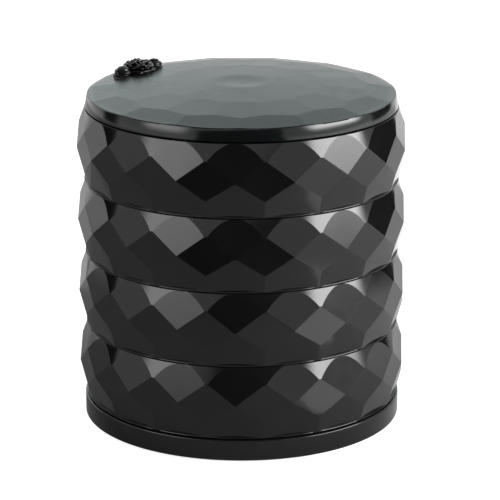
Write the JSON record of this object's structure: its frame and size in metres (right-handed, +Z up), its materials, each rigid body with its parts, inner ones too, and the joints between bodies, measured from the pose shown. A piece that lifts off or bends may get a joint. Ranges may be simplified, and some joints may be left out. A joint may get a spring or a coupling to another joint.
{
  "type": "rotating jewelry box",
  "caption": "Round jewelry box: stacked faceted trays and a faceted lid that each swing sideways about one upright rod near the rim, capped by a rosette.",
  "frame": {"origin": "middle of the plinth on the surface it stands on", "axes": "+Z up along the drum's axis, -Y towards the front of the picture, +X to its right"},
  "size_m": [0.1216, 0.1228, 0.1302],
  "materials": {
    "gloss_black": "moulded black plastic with polished facets",
    "lid_black": "polished black plastic with a cool grey reflection",
    "finial_black": "satin black moulded ornament",
    "divider_black": "plain black moulded plastic",
    "foot_rubber": "dark rubber",
    "rod_steel": "plated steel",
    "washer_acetal": "off-white low-friction plastic",
    "grey_velvet": "dark grey flocked velvet"
  },
  "bodies": {
    "base": {"base_plinth": "gloss_black", "foot_1": "foot_rubber", "foot_2": "foot_rubber", "foot_3": "foot_rubber", "foot_4": "foot_rubber", "pivot_rod": "rod_steel", "friction_washer_1": "washer_acetal", "friction_washer_2": "washer_acetal", "friction_washer_3": "washer_acetal", "friction_washer_4": "washer_acetal", "friction_washer_5": "washer_acetal", "spring_washer": "rod_steel", "rod_nut": "rod_steel"},
    "bottom_layer": {"bottom_tray": "gloss_black", "bottom_liner": "grey_velvet"},
    "lower_layer": {"lower_tray": "gloss_black", "lower_liner": "grey_velvet", "t_divider": "divider_black"},
    "upper_layer": {"upper_tray": "gloss_black", "upper_liner": "grey_velvet", "cross_divider": "divider_black"},
    "top_layer": {"top_tray": "gloss_black", "top_liner": "grey_velvet", "ring_cushion": "grey_velvet"},
    "lid_layer": {"lid": "lid_black", "finial_base": "finial_black", "finial_rosette": "finial_black"}
  },
  "joints": [
    {"name": "bottom_tray_swivel", "type": "hinge", "parent": "base", "child": "bottom_layer", "pos_m": [-0.03908, 0.02538, 0.0088], "axis": [0, 0, 1], "continuous": true},
    {"name": "lower_tray_swivel", "type": "hinge", "parent": "base", "child": "lower_layer", "pos_m": [-0.03908, 0.02538, 0.0363], "axis": [0, 0, 1], "continuous": true},
    {"name": "upper_tray_swivel", "type": "hinge", "parent": "base", "child": "upper_layer", "pos_m": [-0.03908, 0.02538, 0.0638], "axis": [0, 0, 1], "continuous": true},
    {"name": "top_tray_swivel", "type": "hinge", "parent": "base", "child": "top_layer", "pos_m": [-0.03908, 0.02538, 0.0913], "axis": [0, 0, 1], "continuous": true},
    {"name": "lid_swivel", "type": "hinge", "parent": "base", "child": "lid_layer", "pos_m": [-0.03908, 0.02538, 0.1188], "axis": [0, 0, 1], "continuous": true}
  ]
}
